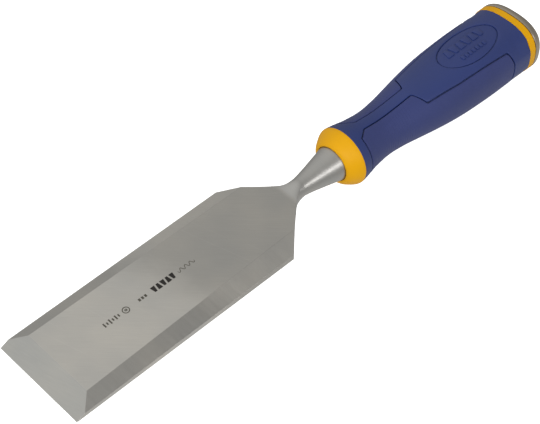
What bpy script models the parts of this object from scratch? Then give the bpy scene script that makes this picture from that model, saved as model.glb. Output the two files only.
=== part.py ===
"""Bench chisel with a forged bevel-edged blade, a two-colour moulded handle and a steel strike cap.

Units are metres. The X axis is the tool's axis, from the strike face at X = 0 to the cutting edge.
+Z comes out of the blade's bevelled face, and the flat back of the blade looks along -Z. The blade
gets slightly thicker from the primary bevel back to the neck.
"""

import math

import bmesh
import bpy

MM = 0.001
GAP = 0.3 * MM  # air between neighbouring pieces

# Blade
EDGE_X = 301.5 * MM
BLADE_HALF_WIDTH = 25.5 * MM
BLADE_THICKNESS = 5.2 * MM  # behind the primary bevel
BACK_Z = -BLADE_THICKNESS
FACE_LEVEL_X = 290.7 * MM  # here the bevelled face crosses the tool's axis
FACE_RISE = 0.0147  # and from here it rises by this much of its length towards the neck
EDGE_LAND = 0.15 * MM  # thickness left at the cutting edge
PRIMARY_BEVEL = math.radians(25.0)
SIDE_LAND = 2.2 * MM  # height of the upright side under the side bevel, at FACE_LEVEL_X
LAND_RISE = 0.0076  # its rise towards the neck
SIDE_BEVEL_WIDTH = 6.3 * MM

# Neck, bolster and tang
NECK_RADIUS = 4.68 * MM
NECK_BLEND = 4.15 * MM  # size of the curve at both ends of the neck
NECK_FRONT_X = 154.2 * MM  # the outline opens from here to the shoulders
NECK_REAR_X = 152.0 * MM  # and from here to the bolster
TAPER_XS = (169.0 * MM, 164.5 * MM, 162.0 * MM)  # sections between the shoulders and the flat bar's end
BOLSTER_XS = (148.5 * MM, 146.5 * MM, 143.5 * MM, 139.5 * MM, 133.5 * MM)
SOCKET_XS = BOLSTER_XS[-2:]  # the collar's socket takes the bolster from here back
SHOULDER_SLOPE = 1.0
BOLSTER_SLOPE = 0.228
FLAT_END_X = 160.0 * MM  # flat bar in front of this, turning round behind it
ROUND_START_X = 150.5 * MM
BOLSTER_END_X = 125.5 * MM
TANG_ROOT = 4.2 * MM  # half of the tang's side
TANG_TIP = 2.6 * MM
TANG_END_X = 47.5 * MM

# Handle: distance from the strike face, half width, half height, squareness (2 is an ellipse)
GRIP_STATIONS = (
    (0.0, 18.9, 15.4, 2.5),
    (10.0, 18.8, 15.3, 2.5),
    (21.5, 18.65, 15.2, 2.5),
    (35.5, 18.68, 15.2, 2.5),
    (51.5, 18.2, 14.83, 2.46),
    (61.5, 17.45, 14.43, 2.4),
    (71.5, 16.15, 13.84, 2.34),
    (81.5, 14.53, 13.03, 2.27),
    (91.5, 12.98, 12.19, 2.2),
    (101.5, 12.24, 11.94, 2.12),
    (111.5, 13.09, 13.05, 2.04),
    (117.5, 14.3, 14.3, 2.0),
    (122.5, 15.1, 15.1, 2.0),
)
CAP_FRONT_X = 5.9 * MM
CAP_DOME_HEIGHT = 4.5 * MM  # rounding of the cap's rim, along the axis
CAP_DOME_INSET = 5.0 * MM  # and towards the axis
RING_REAR_X = CAP_FRONT_X + GAP
RING_FRONT_X = 9.9 * MM
COLLAR_REAR_X = 122.2 * MM
# Collar: distance from the strike face and radius, to the lip round the bolster
COLLAR_PROFILE = (
    (122.2, 15.1),
    (123.6, 14.8),
    (125.25, 13.95),
    (128.1, 12.1),
    (129.2, 11.1),
    (129.8, 10.2),
    (129.6, 9.5),
)
SLEEVE_THICKNESS = 3.0 * MM

# Soft side panels, as a plan outline from the middle of the top to past the handle's side
PANEL_DEPTH = 1.5 * MM
PANEL_CLEARANCE = 0.35 * MM
PANEL_OUTLINE = (
    (20.9, 30.0),
    (20.9, 18.9),
    (22.7, 17.0),
    (24.1, 14.4),
    (56.1, 12.7),
    (76.6, 10.3),
    (80.0, 2.7),
    (112.0, 2.7),
    (117.2, 6.4),
    (117.2, 30.0),
)

# Oval badge recess on top of the grip
BADGE_X = 37.5 * MM
BADGE_HALF_LENGTH = 19.3 * MM
BADGE_HALF_WIDTH = 10.2 * MM
BADGE_DEPTH = 0.5 * MM

# Strike cap's shank, held in the core by its barbs
SHANK_RADIUS = 4.0 * MM
BARB_RADIUS = 5.2 * MM
SHANK_END_X = 32.0 * MM
BARB_XS = (14.0 * MM, 20.0 * MM, 26.0 * MM)
BARB_LENGTH = 2.5 * MM

AROUND = 32  # points round a handle section
PER_SIDE = 7  # points on each side of a blade section


def clear_scene():
    for obj in list(bpy.data.objects):
        bpy.data.objects.remove(obj, do_unlink=True)


def new_collection(name):
    collection = bpy.data.collections.new(name)
    bpy.context.scene.collection.children.link(collection)
    return collection


def principled(name, colour, roughness, metallic):
    material = bpy.data.materials.new(name)
    material.use_nodes = True
    shader = material.node_tree.nodes["Principled BSDF"]
    shader.inputs["Base Color"].default_value = (*colour, 1.0)
    shader.inputs["Roughness"].default_value = roughness
    shader.inputs["Metallic"].default_value = metallic
    return material


def smooth_step(t):
    t = min(max(t, 0.0), 1.0)
    return t * t * (3.0 - 2.0 * t)


def loft(name, rings, collection):
    """Close a skin over rings of equally many points, which run from high X to low X."""
    mesh = bpy.data.meshes.new(name)
    bm = bmesh.new()
    rows = [[bm.verts.new(point) for point in ring] for ring in rings]
    count = len(rows[0])
    for front, rear in zip(rows, rows[1:]):
        for i in range(count):
            j = (i + 1) % count
            bm.faces.new((front[i], rear[i], rear[j], front[j]))
    bm.faces.new(rows[0])
    bm.faces.new(reversed(rows[-1]))
    bmesh.ops.recalc_face_normals(bm, faces=bm.faces[:])
    bm.to_mesh(mesh)
    bm.free()
    obj = bpy.data.objects.new(name, mesh)
    collection.objects.link(obj)
    return obj


def mesh_from_curve(curve_object, collection):
    """Replace a curve object by a welded mesh object that Booleans can use."""
    depsgraph = bpy.context.evaluated_depsgraph_get()
    mesh = bpy.data.meshes.new_from_object(curve_object.evaluated_get(depsgraph))
    bm = bmesh.new()
    bm.from_mesh(mesh)
    bmesh.ops.remove_doubles(bm, verts=bm.verts[:], dist=0.01 * MM)
    bm.to_mesh(mesh)
    bm.free()
    obj = bpy.data.objects.new(curve_object.name + "_solid", mesh)
    collection.objects.link(obj)
    obj.matrix_world = curve_object.matrix_world
    bpy.data.objects.remove(curve_object, do_unlink=True)
    return obj


def plan_prism(name, outline, half_height, collection):
    """An outline in the XY plane, extruded the same way up and down."""
    curve = bpy.data.curves.new(name, "CURVE")
    curve.dimensions = "2D"
    curve.fill_mode = "BOTH"
    curve.extrude = half_height
    spline = curve.splines.new("POLY")
    spline.points.add(len(outline) - 1)
    for point, (x, y) in zip(spline.points, outline):
        point.co = (x, y, 0.0, 1.0)
    spline.use_cyclic_u = True
    obj = bpy.data.objects.new(name, curve)
    collection.objects.link(obj)
    bpy.context.view_layer.update()
    return mesh_from_curve(obj, collection)


def as_cutter(obj):
    obj.hide_render = True
    obj.display_type = "WIRE"
    return obj


def boolean(obj, other, operation):
    modifier = obj.modifiers.new(f"{operation.lower()} {other.name}", "BOOLEAN")
    modifier.operation = operation
    modifier.solver = "EXACT"
    modifier.object = other


def finish(obj, material, sharp_angle=30.0):
    obj.data.materials.append(material)
    obj.data.shade_smooth()
    obj.data.set_sharp_from_angle(angle=math.radians(sharp_angle))


# Handle sections


def grip_size(x):
    """Half width, half height and squareness of the handle's outside at x, on a smooth curve."""
    rows = GRIP_STATIONS
    x_mm = min(max(x / MM, rows[0][0]), rows[-1][0])
    k = max(i for i in range(len(rows) - 1) if rows[i][0] <= x_mm)
    before, low, high, after = rows[max(k - 1, 0)], rows[k], rows[k + 1], rows[min(k + 2, len(rows) - 1)]
    span = high[0] - low[0]
    t = (x_mm - low[0]) / span
    values = []
    for column in (1, 2, 3):
        slope_low = (high[column] - before[column]) / (high[0] - before[0]) * span
        slope_high = (after[column] - low[column]) / (after[0] - low[0]) * span
        rise = high[column] - low[column]
        curve = slope_low * t + (3.0 * rise - 2.0 * slope_low - slope_high) * t**2
        values.append(low[column] + curve + (slope_low + slope_high - 2.0 * rise) * t**3)
    return values[0] * MM, values[1] * MM, values[2]


def oval_ring(x, half_width, half_height, squareness):
    ring = []
    for i in range(AROUND):
        angle = 2.0 * math.pi * i / AROUND
        c, s = math.cos(angle), math.sin(angle)
        y = math.copysign(abs(c) ** (2.0 / squareness), c) * half_width
        z = math.copysign(abs(s) ** (2.0 / squareness), s) * half_height
        ring.append((x, y, z))
    return ring


def grip_ring(x, inset=0.0):
    half_width, half_height, squareness = grip_size(x)
    return oval_ring(x, half_width - inset, half_height - inset, squareness)


def grip_loft(name, rear_x, front_x, inset, collection, step=6.0 * MM):
    """A solid bounded by the handle's outside, moved in by inset."""
    count = round((front_x - rear_x) / step)
    xs = [front_x + (rear_x - front_x) * i / count for i in range(count + 1)]
    return loft(name, [grip_ring(x, inset) for x in xs], collection)


# Blade sections


def neck_curve(distance, slope):
    """Half width at a distance from the neck, which turns into a straight slope."""
    return NECK_RADIUS + slope * (math.hypot(max(distance, 0.0), NECK_BLEND) - NECK_BLEND)


def shoulder_half_width(x):
    return neck_curve(x - NECK_FRONT_X, SHOULDER_SLOPE)


def bolster_radius(x):
    return neck_curve(NECK_REAR_X - x, BOLSTER_SLOPE)


def face_z(x):
    """Height of the blade's bevelled face."""
    return FACE_RISE * (FACE_LEVEL_X - x)


def land_z(x):
    """Height at which the side bevels start."""
    return BACK_Z + SIDE_LAND + LAND_RISE * (FACE_LEVEL_X - x)


def shoulder_x():
    """Where the shoulders reach the blade's full width."""
    run = (BLADE_HALF_WIDTH - NECK_RADIUS) / SHOULDER_SLOPE + NECK_BLEND
    return NECK_FRONT_X + math.sqrt(run**2 - NECK_BLEND**2)


def box_to_round_ring(x, half_width, low, high, radius, roundness):
    """A rectangle at roundness 0, which turns into a circle round the axis at roundness 1."""
    corners = ((-half_width, low), (half_width, low), (half_width, high), (-half_width, high))
    ring = []
    for side in range(4):
        (y0, z0), (y1, z1) = corners[side], corners[(side + 1) % 4]
        for i in range(PER_SIDE):
            t = i / PER_SIDE
            angle = math.radians(225.0 + 90.0 * (side + t))
            y = (y0 + (y1 - y0) * t) * (1.0 - roundness) + radius * math.cos(angle) * roundness
            z = (z0 + (z1 - z0) * t) * (1.0 - roundness) + radius * math.sin(angle) * roundness
            ring.append((x, y, z))
    return ring


def forging_rings():
    """Sections of bar, neck, bolster and tang, from the cutting edge to the tang's tip."""
    bar_stations = [(EDGE_X, BLADE_HALF_WIDTH), (shoulder_x(), BLADE_HALF_WIDTH)]
    for x in TAPER_XS:
        bar_stations.append((x, shoulder_half_width(x)))
    rings = [box_to_round_ring(x, width, BACK_Z, face_z(x), 0.0, 0.0) for x, width in bar_stations]
    blend_steps = 8
    for i in range(blend_steps + 1):
        x = FLAT_END_X + (ROUND_START_X - FLAT_END_X) * i / blend_steps
        roundness = smooth_step(i / blend_steps)
        width = shoulder_half_width(x)
        rings.append(box_to_round_ring(x, width, BACK_Z, face_z(x), NECK_RADIUS, roundness))
    for x in (*BOLSTER_XS, BOLSTER_END_X):
        rings.append(box_to_round_ring(x, 0.0, 0.0, 0.0, bolster_radius(x), 1.0))
    for x, half in ((BOLSTER_END_X, TANG_ROOT), (TANG_END_X, TANG_TIP)):
        rings.append(box_to_round_ring(x, half, -half, half, 0.0, 0.0))
    return rings


def slab_above(name, centre, half_size, collection):
    """A box whose underside passes through centre."""
    mesh = bpy.data.meshes.new(name)
    bm = bmesh.new()
    bmesh.ops.create_cube(bm, size=2.0)
    bmesh.ops.translate(bm, verts=bm.verts[:], vec=(0.0, 0.0, 1.0))
    bmesh.ops.scale(bm, verts=bm.verts[:], vec=half_size)
    bm.to_mesh(mesh)
    bm.free()
    obj = bpy.data.objects.new(name, mesh)
    collection.objects.link(obj)
    obj.location = centre
    return obj


def make_blade(parts, cutters, steel):
    blade = loft("blade", forging_rings(), parts)
    side_angle = math.atan2(BLADE_THICKNESS - SIDE_LAND, SIDE_BEVEL_WIDTH)
    middle_x = 241.5 * MM
    for side in (-1, 1):
        centre = (middle_x, side * BLADE_HALF_WIDTH, land_z(middle_x))
        cutter = slab_above(f"side_bevel_cutter_{side}", centre, (80.0 * MM, 12.0 * MM, 8.0 * MM), cutters)
        cutter.rotation_euler = (-side * side_angle, math.atan(LAND_RISE), 0.0)
        boolean(blade, as_cutter(cutter), "DIFFERENCE")
    centre = (EDGE_X, 0.0, BACK_Z + EDGE_LAND)
    cutter = slab_above("primary_bevel_cutter", centre, (20.0 * MM, 35.0 * MM, 10.0 * MM), cutters)
    cutter.rotation_euler = (0.0, PRIMARY_BEVEL, 0.0)
    boolean(blade, as_cutter(cutter), "DIFFERENCE")
    finish(blade, steel)
    return blade


def make_tang_socket(cutters):
    """The hollow that the bolster's end and the tang sit in."""
    rings = []
    for x in (*SOCKET_XS, BOLSTER_END_X - GAP):
        rings.append(box_to_round_ring(x, 0.0, 0.0, 0.0, bolster_radius(x) + GAP, 1.0))
    for x, half in ((BOLSTER_END_X - GAP, TANG_ROOT), (TANG_END_X - GAP, TANG_TIP)):
        half += GAP
        rings.append(box_to_round_ring(x, half, -half, half, 0.0, 0.0))
    return as_cutter(loft("tang_socket_cutter", rings, cutters))


# Strike cap


def shank_rings(clearance):
    """Barbed round shank, from its free end back into the cap."""
    stations = [(SHANK_END_X + clearance, SHANK_RADIUS - 1.0 * MM)]
    stations.append((SHANK_END_X - 1.0 * MM + clearance, SHANK_RADIUS))
    for x in reversed(BARB_XS):
        stations.append((x + BARB_LENGTH, SHANK_RADIUS))
        stations.append((x - clearance, BARB_RADIUS))
        stations.append((x - clearance, SHANK_RADIUS))
    stations.append((0.5 * CAP_FRONT_X, SHANK_RADIUS))
    return [oval_ring(x, r + clearance, r + clearance, 2.0) for x, r in stations]


def make_strike_cap(parts, cutters, steel):
    half_width, half_height, squareness = grip_size(0.0)
    rings = [oval_ring(CAP_FRONT_X, half_width, half_height, squareness)]
    dome_steps = 6
    for i in range(dome_steps + 1):
        angle = 0.5 * math.pi * i / dome_steps
        x = CAP_DOME_HEIGHT * (1.0 - math.sin(angle))
        inset = CAP_DOME_INSET * (1.0 - math.cos(angle))
        rings.append(oval_ring(x, half_width - inset, half_height - inset, squareness))
    cap = loft("strike_cap", rings, parts)
    boolean(cap, as_cutter(loft("shank_stock", shank_rings(0.0), cutters)), "UNION")
    finish(cap, steel)
    return cap


# Handle


def make_core(parts, cutters, plastic):
    rings = [oval_ring(x * MM, r * MM, r * MM, 2.0) for x, r in reversed(COLLAR_PROFILE)]
    body_front, body_rear = COLLAR_REAR_X, RING_FRONT_X
    body_steps = 14
    for i in range(body_steps + 1):
        x = body_front + (body_rear - body_front) * i / body_steps
        rings.append(grip_ring(x, SLEEVE_THICKNESS))
    rings.append(grip_ring(RING_FRONT_X))
    rings.append(grip_ring(RING_REAR_X))
    core = loft("handle_core", rings, parts)
    boolean(core, make_tang_socket(cutters), "DIFFERENCE")
    socket = as_cutter(loft("shank_socket_cutter", shank_rings(GAP), cutters))
    boolean(core, socket, "DIFFERENCE")
    finish(core, plastic)
    return core


def side_outline(side, inset):
    """The panel's plan outline on one side, with each edge moved into the panel by inset."""
    points = [(x * MM, side * y * MM) for x, y in PANEL_OUTLINE]
    count = len(points)
    moved = []
    for i, (x, y) in enumerate(points):
        before, after = points[i - 1], points[(i + 1) % count]
        normals = []
        for (x0, y0), (x1, y1) in ((before, (x, y)), ((x, y), after)):
            length = math.hypot(x1 - x0, y1 - y0)
            normals.append((-side * (y1 - y0) / length, side * (x1 - x0) / length))
        (ax, ay), (bx, by) = normals
        scale = inset / (1.0 + ax * bx + ay * by)
        moved.append((x + (ax + bx) * scale, y + (ay + by) * scale))
    return moved


def side_slug(name, side, inset, depth, collection, cutters):
    """A prism over the panel's outline, hollowed by the handle's own shape at a depth."""
    slug = plan_prism(name, side_outline(side, inset), 25.0 * MM, collection)
    slug.name = name
    floor = as_cutter(grip_loft(f"{name}_floor", 10.0 * MM, 119.0 * MM, depth, cutters))
    boolean(slug, floor, "DIFFERENCE")
    return slug


def make_sleeve(parts, cutters, plastic):
    sleeve = grip_loft("grip_sleeve", RING_FRONT_X + GAP, COLLAR_REAR_X - GAP, 0.0, parts)
    cavity = grip_loft("sleeve_cavity_cutter", 0.0, 130.0 * MM, SLEEVE_THICKNESS - GAP, cutters)
    boolean(sleeve, as_cutter(cavity), "DIFFERENCE")
    for side in (-1, 1):
        slug = side_slug(f"panel_recess_cutter_{side}", side, 0.0, PANEL_DEPTH, cutters, cutters)
        boolean(sleeve, as_cutter(slug), "DIFFERENCE")
    badge_outline = []
    for i in range(AROUND):
        angle = 2.0 * math.pi * i / AROUND
        x = BADGE_X + BADGE_HALF_LENGTH * math.cos(angle)
        badge_outline.append((x, BADGE_HALF_WIDTH * math.sin(angle)))
    badge = plan_prism("badge", badge_outline, 10.0 * MM, cutters)
    badge.location.z = 15.0 * MM
    floor = as_cutter(grip_loft("badge_floor", 10.0 * MM, 70.0 * MM, BADGE_DEPTH, cutters))
    boolean(badge, floor, "DIFFERENCE")
    boolean(sleeve, as_cutter(badge), "DIFFERENCE")
    finish(sleeve, plastic)
    return sleeve


def make_panel(name, side, parts, cutters, rubber):
    panel = side_slug(name, side, PANEL_CLEARANCE, PANEL_DEPTH - GAP, parts, cutters)
    outside = as_cutter(grip_loft(f"{name}_outside", 10.0 * MM, 119.0 * MM, 0.0, cutters))
    boolean(panel, outside, "INTERSECT")
    finish(panel, rubber)
    return panel


def main():
    clear_scene()
    parts = new_collection("bench_chisel")
    cutters = new_collection("cutters")
    steel = principled("ground steel", (0.42, 0.42, 0.41), 0.32, 1.0)
    cap_steel = principled("cap steel", (0.55, 0.54, 0.52), 0.38, 1.0)
    yellow = principled("yellow core plastic", (0.75, 0.38, 0.01), 0.38, 0.0)
    blue = principled("blue grip plastic", (0.045, 0.065, 0.19), 0.5, 0.0)
    soft_blue = principled("soft blue panel", (0.055, 0.062, 0.19), 0.7, 0.0)
    make_blade(parts, cutters, steel)
    make_core(parts, cutters, yellow)
    make_sleeve(parts, cutters, blue)
    make_panel("grip_panel_left", 1, parts, cutters, soft_blue)
    make_panel("grip_panel_right", -1, parts, cutters, soft_blue)
    make_strike_cap(parts, cutters, cap_steel)


main()
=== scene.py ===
"""Bench chisel with a forged bevel-edged blade, a two-colour moulded handle and a steel strike cap.

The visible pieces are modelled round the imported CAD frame, in metres. The tool's axis is X, from the
strike face at X = 0 to the cutting edge, and +Z comes out of the blade's bevelled face. The blade
gets slightly thicker towards the neck.
"""

import math

import bmesh
import bpy
from bpy.props import FloatProperty, FloatVectorProperty, PointerProperty
from mathutils import Matrix, Vector


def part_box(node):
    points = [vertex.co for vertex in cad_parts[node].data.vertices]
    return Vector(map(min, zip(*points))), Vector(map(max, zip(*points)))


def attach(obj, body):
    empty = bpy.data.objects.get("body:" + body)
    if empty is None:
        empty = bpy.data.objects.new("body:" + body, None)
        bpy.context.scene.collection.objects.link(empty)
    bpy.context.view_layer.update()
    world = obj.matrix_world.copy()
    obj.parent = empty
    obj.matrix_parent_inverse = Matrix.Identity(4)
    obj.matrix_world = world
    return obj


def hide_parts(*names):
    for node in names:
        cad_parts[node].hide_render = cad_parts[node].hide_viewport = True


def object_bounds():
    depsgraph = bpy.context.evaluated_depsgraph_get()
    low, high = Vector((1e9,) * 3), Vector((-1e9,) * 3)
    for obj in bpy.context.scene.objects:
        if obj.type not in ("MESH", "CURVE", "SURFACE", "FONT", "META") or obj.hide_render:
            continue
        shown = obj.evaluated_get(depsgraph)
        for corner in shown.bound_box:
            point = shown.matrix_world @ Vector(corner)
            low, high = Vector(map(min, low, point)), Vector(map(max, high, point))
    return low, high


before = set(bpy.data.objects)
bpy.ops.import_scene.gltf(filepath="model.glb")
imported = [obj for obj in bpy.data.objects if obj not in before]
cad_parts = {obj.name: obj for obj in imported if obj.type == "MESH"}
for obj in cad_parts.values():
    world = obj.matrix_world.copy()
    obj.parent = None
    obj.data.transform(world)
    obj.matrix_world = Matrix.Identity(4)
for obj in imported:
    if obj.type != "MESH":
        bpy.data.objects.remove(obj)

bl_info = {
    "name": "Bench chisel",
    "version": (1, 0, 0),
    "blender": (4, 5, 0),
    "location": "3D View > Sidebar > Bench chisel",
    "description": "Builds a bevel-edged bench chisel with a moulded handle, piece by piece",
    "category": "Object",
}

MM = 0.001
CAD_LOW, CAD_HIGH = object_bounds()
BLADE_LOW, BLADE_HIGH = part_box("blade")
CORE_LOW, CORE_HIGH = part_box("handle_core")
SLEEVE_LOW, SLEEVE_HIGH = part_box("grip_sleeve")

# Handle's outside: distance from the strike face, half width, half height (mm), squareness (2 is an ellipse)
GRIP_STATIONS = (
    (0.0, 18.9, 15.4, 2.5),
    (10.0, 18.8, 15.3, 2.5),
    (21.5, 18.65, 15.2, 2.5),
    (35.5, 18.68, 15.2, 2.5),
    (51.5, 18.2, 14.83, 2.46),
    (61.5, 17.45, 14.43, 2.4),
    (71.5, 16.15, 13.84, 2.34),
    (81.5, 14.53, 13.03, 2.27),
    (91.5, 12.98, 12.19, 2.2),
    (101.5, 12.24, 11.94, 2.12),
    (111.5, 13.09, 13.05, 2.04),
    (117.5, 14.3, 14.3, 2.0),
    (122.5, 15.1, 15.1, 2.0),
)
# Plan outline of a soft panel's upper edge: distance from the strike face and from the middle (mm)
PANEL_OUTLINE = (
    (20.9, 18.9),
    (22.7, 17.0),
    (24.1, 14.4),
    (56.1, 12.7),
    (76.6, 10.3),
    (80.0, 2.7),
    (112.0, 2.7),
    (117.2, 6.4),
)
# Yellow collar: distance from the strike face and radius (mm), up to the lip round the bolster
COLLAR_PROFILE = (
    (122.2, 14.98),
    (122.32, 15.04),
    (123.0, 14.96),
    (123.7, 14.72),
    (124.5, 14.34),
    (125.25, 13.92),
    (126.0, 13.46),
    (127.0, 12.83),
    (128.0, 12.14),
    (128.7, 11.5),
    (129.3, 10.75),
    (129.65, 10.1),
    (129.75, 9.65),
    (129.68, 9.35),
    (129.5, 9.17),
)
AROUND = 96  # points round a plain handle or cap section
PER_SIDE = 20  # points on each side of a blade section
BROAD_FACE = 30.0 * MM * MM  # larger faces stay exactly flat in the shading
NECK_FRONT_X = 154.2 * MM  # the blade's outline opens from here to the shoulders


class ChiselBlade(bpy.types.PropertyGroup):
    """Sizes of the blade, neck and bolster."""

    thickness: FloatProperty(
        name="Thickness", description="Back to bevelled face, in front", default=5.2 * MM, unit="LENGTH"
    )
    face_level_x: FloatProperty(
        name="Face level", description="Where the bevelled face crosses the axis", default=290.7 * MM, unit="LENGTH"
    )
    face_rise: FloatProperty(name="Face rise", description="Slope of the face up to the neck", default=0.0147)
    land_rise: FloatProperty(name="Land rise", description="Slope of the side bevels' lower edge", default=0.0076)
    edge_land: FloatProperty(
        name="Edge land", description="Steel left at the cutting edge", default=0.15 * MM, unit="LENGTH"
    )
    primary_bevel: FloatProperty(
        name="Primary bevel", description="Angle of the ground bevel", default=math.radians(25.0), subtype="ANGLE"
    )
    side_land: FloatProperty(
        name="Side land", description="Upright side under each side bevel", default=2.2 * MM, unit="LENGTH"
    )
    side_bevel_width: FloatProperty(
        name="Side bevel width", description="Width of each side bevel from above", default=6.3 * MM, unit="LENGTH"
    )
    neck_radius: FloatProperty(
        name="Neck radius", description="Radius at the thinnest place", default=4.68 * MM, unit="LENGTH"
    )
    neck_blend: FloatProperty(
        name="Neck blend", description="Size of the curve at both ends of the neck", default=4.15 * MM, unit="LENGTH"
    )
    edge_rounding: FloatProperty(
        name="Edge rounding", description="Wear on the blade's long edges", default=0.16 * MM, unit="LENGTH"
    )


class ChiselHandle(bpy.types.PropertyGroup):
    """Sizes of the moulded handle and its strike cap."""

    recess_depth: FloatProperty(
        name="Recess depth", description="Depth of the pockets for the soft panels", default=1.4 * MM, unit="LENGTH"
    )
    panel_gap: FloatProperty(
        name="Panel gap", description="Groove round each soft panel", default=0.5 * MM, unit="LENGTH"
    )
    badge_half_length: FloatProperty(
        name="Badge half length", description="Half of the oval along the handle", default=19.3 * MM, unit="LENGTH"
    )
    badge_half_width: FloatProperty(
        name="Badge half width", description="Half of the oval across the handle", default=10.2 * MM, unit="LENGTH"
    )
    badge_x: FloatProperty(
        name="Badge place", description="Badge's middle, from the strike face", default=37.5 * MM, unit="LENGTH"
    )
    badge_sink: FloatProperty(
        name="Badge sink", description="How far the badge's floor lies below the grip", default=0.4 * MM, unit="LENGTH"
    )
    ring_width: FloatProperty(
        name="Ring width", description="Yellow ring at the strike end", default=3.7 * MM, unit="LENGTH"
    )
    cap_round_length: FloatProperty(
        name="Cap rounding length", description="Rounding of the cap's rim, along it", default=4.5 * MM, unit="LENGTH"
    )
    cap_round_inset: FloatProperty(
        name="Cap rounding inset", description="Rounding of the cap's rim, inwards", default=5.0 * MM, unit="LENGTH"
    )


def colour_property(name, description, default):
    return FloatVectorProperty(
        name=name, description=description, subtype="COLOR", size=3, min=0.0, max=1.0, default=default
    )


class ChiselColours(bpy.types.PropertyGroup):
    """Colours of the chisel's finishes."""

    steel: colour_property("Blade steel", "Ground steel of the blade", (0.53, 0.514, 0.482))
    neck_steel: colour_property("Neck steel", "Smoother steel of the neck and bolster", (0.42, 0.412, 0.395))
    cap_steel: colour_property("Cap steel", "Steel of the strike cap", (0.45, 0.395, 0.325))
    core: colour_property("Core", "Hard yellow plastic", (0.69, 0.34, 0.001))
    sleeve: colour_property("Sleeve", "Blue moulded grip", (0.016, 0.031, 0.14))
    panel: colour_property("Soft panel", "Soft blue side panels", (0.0205, 0.0315, 0.136))
    dark_mark: colour_property("Dark mark", "Burnt mark on the blade", (0.012, 0.01, 0.008))
    pale_mark: colour_property("Pale mark", "Lightly etched marks on the blade", (0.07, 0.064, 0.05))
    floor: colour_property("Floor", "Pale studio floor", (0.9, 0.9, 0.9))


# Mesh helpers


def draw_out(bm, ring, points):
    """Extrude a ring to the next section's points. The new ring keeps the old one's order."""
    edges = [bm.edges.get((vert, ring[i - 1])) for i, vert in enumerate(ring)]
    made = bmesh.ops.extrude_edge_only(bm, edges=edges)["geom"]
    new_verts = {item for item in made if isinstance(item, bmesh.types.BMVert)}
    fresh = []
    for vert, point in zip(ring, points):
        partner = next(e.other_vert(vert) for e in vert.link_edges if e.other_vert(vert) in new_verts)
        partner.co = point
        fresh.append(partner)
    return fresh


def ring_edges(bm, ring):
    return [bm.edges.get((vert, ring[i - 1])) for i, vert in enumerate(ring)]


def skin(sections, hollow=False):
    """A closed skin, drawn out of one circle through all sections. A hollow one joins last to first."""
    bm = bmesh.new()
    first = bmesh.ops.create_circle(bm, segments=len(sections[0]), radius=1.0)["verts"]
    for vert, point in zip(first, sections[0]):
        vert.co = point
    ring = first
    for points in sections[1:]:
        ring = draw_out(bm, ring, points)
    if hollow:
        bmesh.ops.bridge_loops(bm, edges=ring_edges(bm, first) + ring_edges(bm, ring))
    else:
        bmesh.ops.contextual_create(bm, geom=ring_edges(bm, first))
        bmesh.ops.contextual_create(bm, geom=ring_edges(bm, ring))
    bmesh.ops.recalc_face_normals(bm, faces=bm.faces[:])
    return bm


def piece_from(name, bm, materials, node, sharp_angle=32.0):
    """Make the finished piece, which moves with the chisel's one body."""
    mesh = bpy.data.meshes.new(name)
    bm.to_mesh(mesh)
    bm.free()
    for material in materials:
        mesh.materials.append(material)
    mesh.set_sharp_from_angle(angle=math.radians(sharp_angle))
    for polygon in mesh.polygons:
        polygon.use_smooth = polygon.area < BROAD_FACE
    obj = bpy.data.objects.new(name, mesh)
    bpy.context.scene.collection.objects.link(obj)
    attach(obj, "root")
    if node:
        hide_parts(node)
    return obj


def smooth_step(t):
    t = min(max(t, 0.0), 1.0)
    return t * t * (3.0 - 2.0 * t)


def merged(values, closest=0.04 * MM):
    """Values in order, without near repeats."""
    kept = []
    for value in sorted(values):
        if not kept or value - kept[-1] > closest:
            kept.append(value)
    return kept


def steps(low, high, step):
    count = max(1, round((high - low) / step))
    return [low + (high - low) * i / count for i in range(count + 1)]


# Handle sections


def grip_size(x):
    """Half width, half height and squareness of the handle's outside at x, on a smooth curve."""
    rows = GRIP_STATIONS
    x_mm = min(max(x / MM, rows[0][0]), rows[-1][0])
    k = max(i for i in range(len(rows) - 1) if rows[i][0] <= x_mm)
    before, low, high, after = rows[max(k - 1, 0)], rows[k], rows[k + 1], rows[min(k + 2, len(rows) - 1)]
    span = high[0] - low[0]
    t = (x_mm - low[0]) / span
    values = []
    for column in (1, 2, 3):
        slope_low = (high[column] - before[column]) / (high[0] - before[0]) * span
        slope_high = (after[column] - low[column]) / (after[0] - low[0]) * span
        rise = high[column] - low[column]
        curve = slope_low * t + (3.0 * rise - 2.0 * slope_low - slope_high) * t**2
        values.append(low[column] + curve + (slope_low + slope_high - 2.0 * rise) * t**3)
    return values[0] * MM, values[1] * MM, values[2]


def on_grip(x, y, upper, depth):
    """The point of the handle's outside above or below the plan point, moved in by depth."""
    half_width, half_height, squareness = grip_size(x)
    share = min(abs(y) / half_width, 1.0)
    z = half_height * (1.0 - share**squareness) ** (1.0 / squareness)
    return sunk_point(x, y, z if upper else -z, depth)


def round_grip(x, angle, depth):
    """The point of the handle's outside at an angle from +Y, moved in by depth."""
    half_width, half_height, squareness = grip_size(x)
    c, s = math.cos(angle), math.sin(angle)
    y = math.copysign(abs(c) ** (2.0 / squareness), c) * half_width
    z = math.copysign(abs(s) ** (2.0 / squareness), s) * half_height
    return sunk_point(x, y, z, depth)


def sunk_point(x, y, z, depth):
    half_width, half_height, squareness = grip_size(x)
    out_y = math.copysign(abs(y / half_width) ** (squareness - 1.0) / half_width, y)
    out_z = math.copysign(abs(z / half_height) ** (squareness - 1.0) / half_height, z)
    length = math.hypot(out_y, out_z)
    return (x, y - depth * out_y / length, z - depth * out_z / length)


def edge_angle(x, y):
    """Angle from +Y at which the handle's outside has this distance from the middle."""
    half_width, _, squareness = grip_size(x)
    return math.acos(min(y / half_width, 1.0) ** (0.5 * squareness))


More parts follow.
